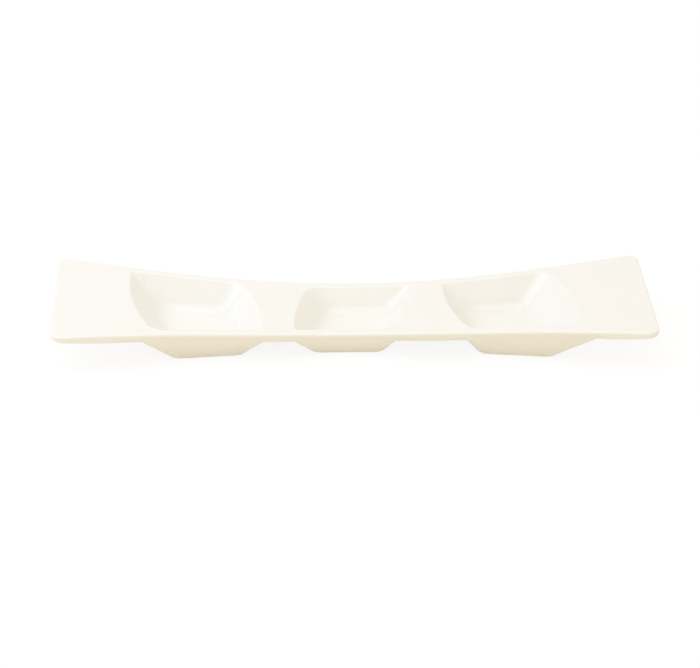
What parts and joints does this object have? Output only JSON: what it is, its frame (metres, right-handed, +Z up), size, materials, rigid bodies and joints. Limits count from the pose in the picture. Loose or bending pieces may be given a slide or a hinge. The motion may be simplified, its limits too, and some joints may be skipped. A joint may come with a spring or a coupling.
{
  "type": "relish tray",
  "caption": "Long waisted serving tray in glazed porcelain, bent up at both ends, with a row of leaf-shaped wells that each stand on a foot.",
  "frame": {"origin": "on the table, under the middle of the tray, with the lowest face of the feet at Z = 0", "axes": "+X along the tray, towards the right end in the picture; +Y across it, away from the camera; +Z up"},
  "size_m": [0.38, 0.1016, 0.0292],
  "materials": {
    "glazed_porcelain": "glossy ivory glaze, bare foot rims"
  },
  "bodies": {
    "root": {"tray": "glazed_porcelain"}
  },
  "joints": []
}
